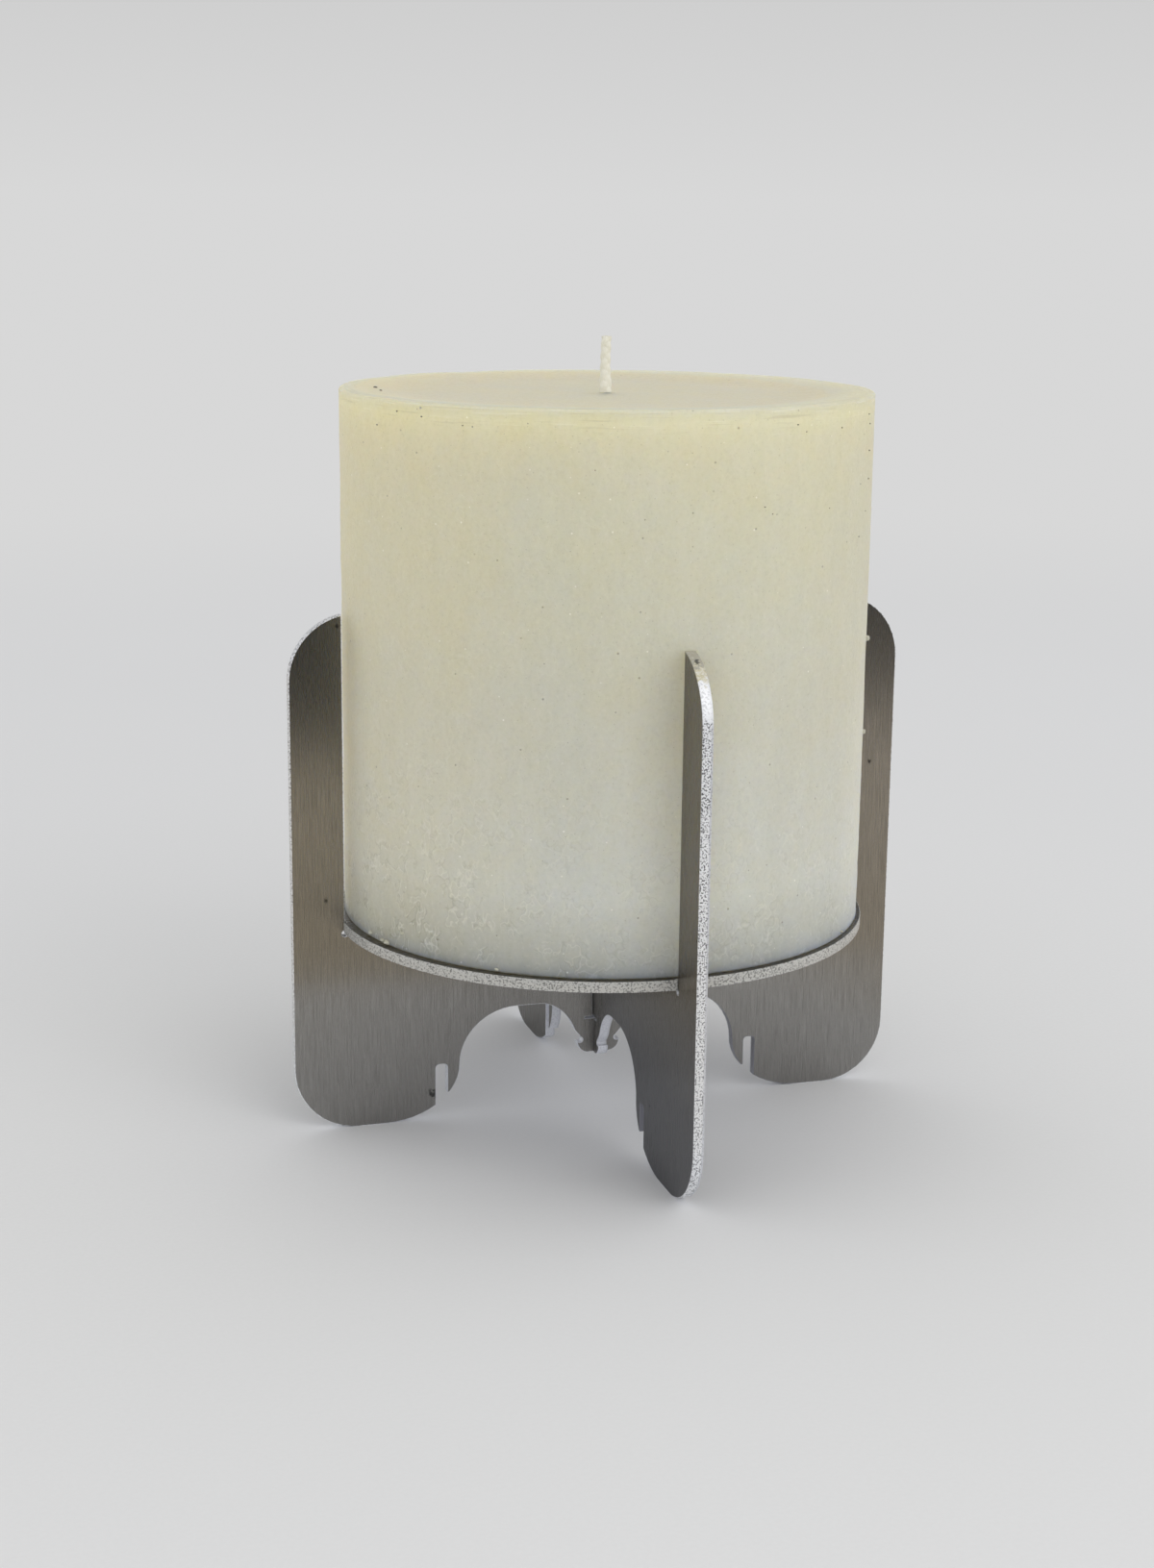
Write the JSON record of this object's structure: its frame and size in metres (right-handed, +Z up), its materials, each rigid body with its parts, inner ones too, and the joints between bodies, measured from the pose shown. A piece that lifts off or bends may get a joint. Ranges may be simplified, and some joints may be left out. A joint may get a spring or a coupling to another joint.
{
  "type": "candlestick",
  "caption": "Flat-pack candlestick: crossed sheet-aluminium plates with rounded arms and arched feet carry a notched disc and a thick ivory pillar candle with a cotton wick.",
  "frame": {"origin": "on the surface the candlestick stands on, on the upright axis where the two plates cross", "axes": "+X along the lower plate, +Y along the upper plate, +Z up; the picture is taken from -Y, a little to the -X side"},
  "size_m": [0.1216, 0.1216, 0.1509],
  "materials": {
    "brushed_sheet": "brushed upright on the faces, bright and granular on the cut edges",
    "disc_sheet": "satin face with a bright granular cut rim",
    "wax": "ivory paraffin wax, translucent at the top and frosted at the bottom",
    "cotton": "braided cotton, waxed"
  },
  "bodies": {
    "lower_plate": {"lower_plate": "brushed_sheet"},
    "upper_plate": {"upper_plate": "brushed_sheet"},
    "disc": {"candle_disc": "disc_sheet"},
    "candle": {"candle": "wax", "wick": "cotton"}
  },
  "joints": [
    {"name": "plate_lift", "type": "slide", "parent": "lower_plate", "child": "upper_plate", "axis": [0, 0, 1], "range_m": [0, 0.03]},
    {"name": "disc_lift", "type": "slide", "parent": "upper_plate", "child": "disc", "axis": [0, 0, 1], "range_m": [0, 0.065]},
    {"name": "candle_lift", "type": "slide", "parent": "disc", "child": "candle", "axis": [0, 0, 1], "range_m": [0, 0.065]}
  ]
}
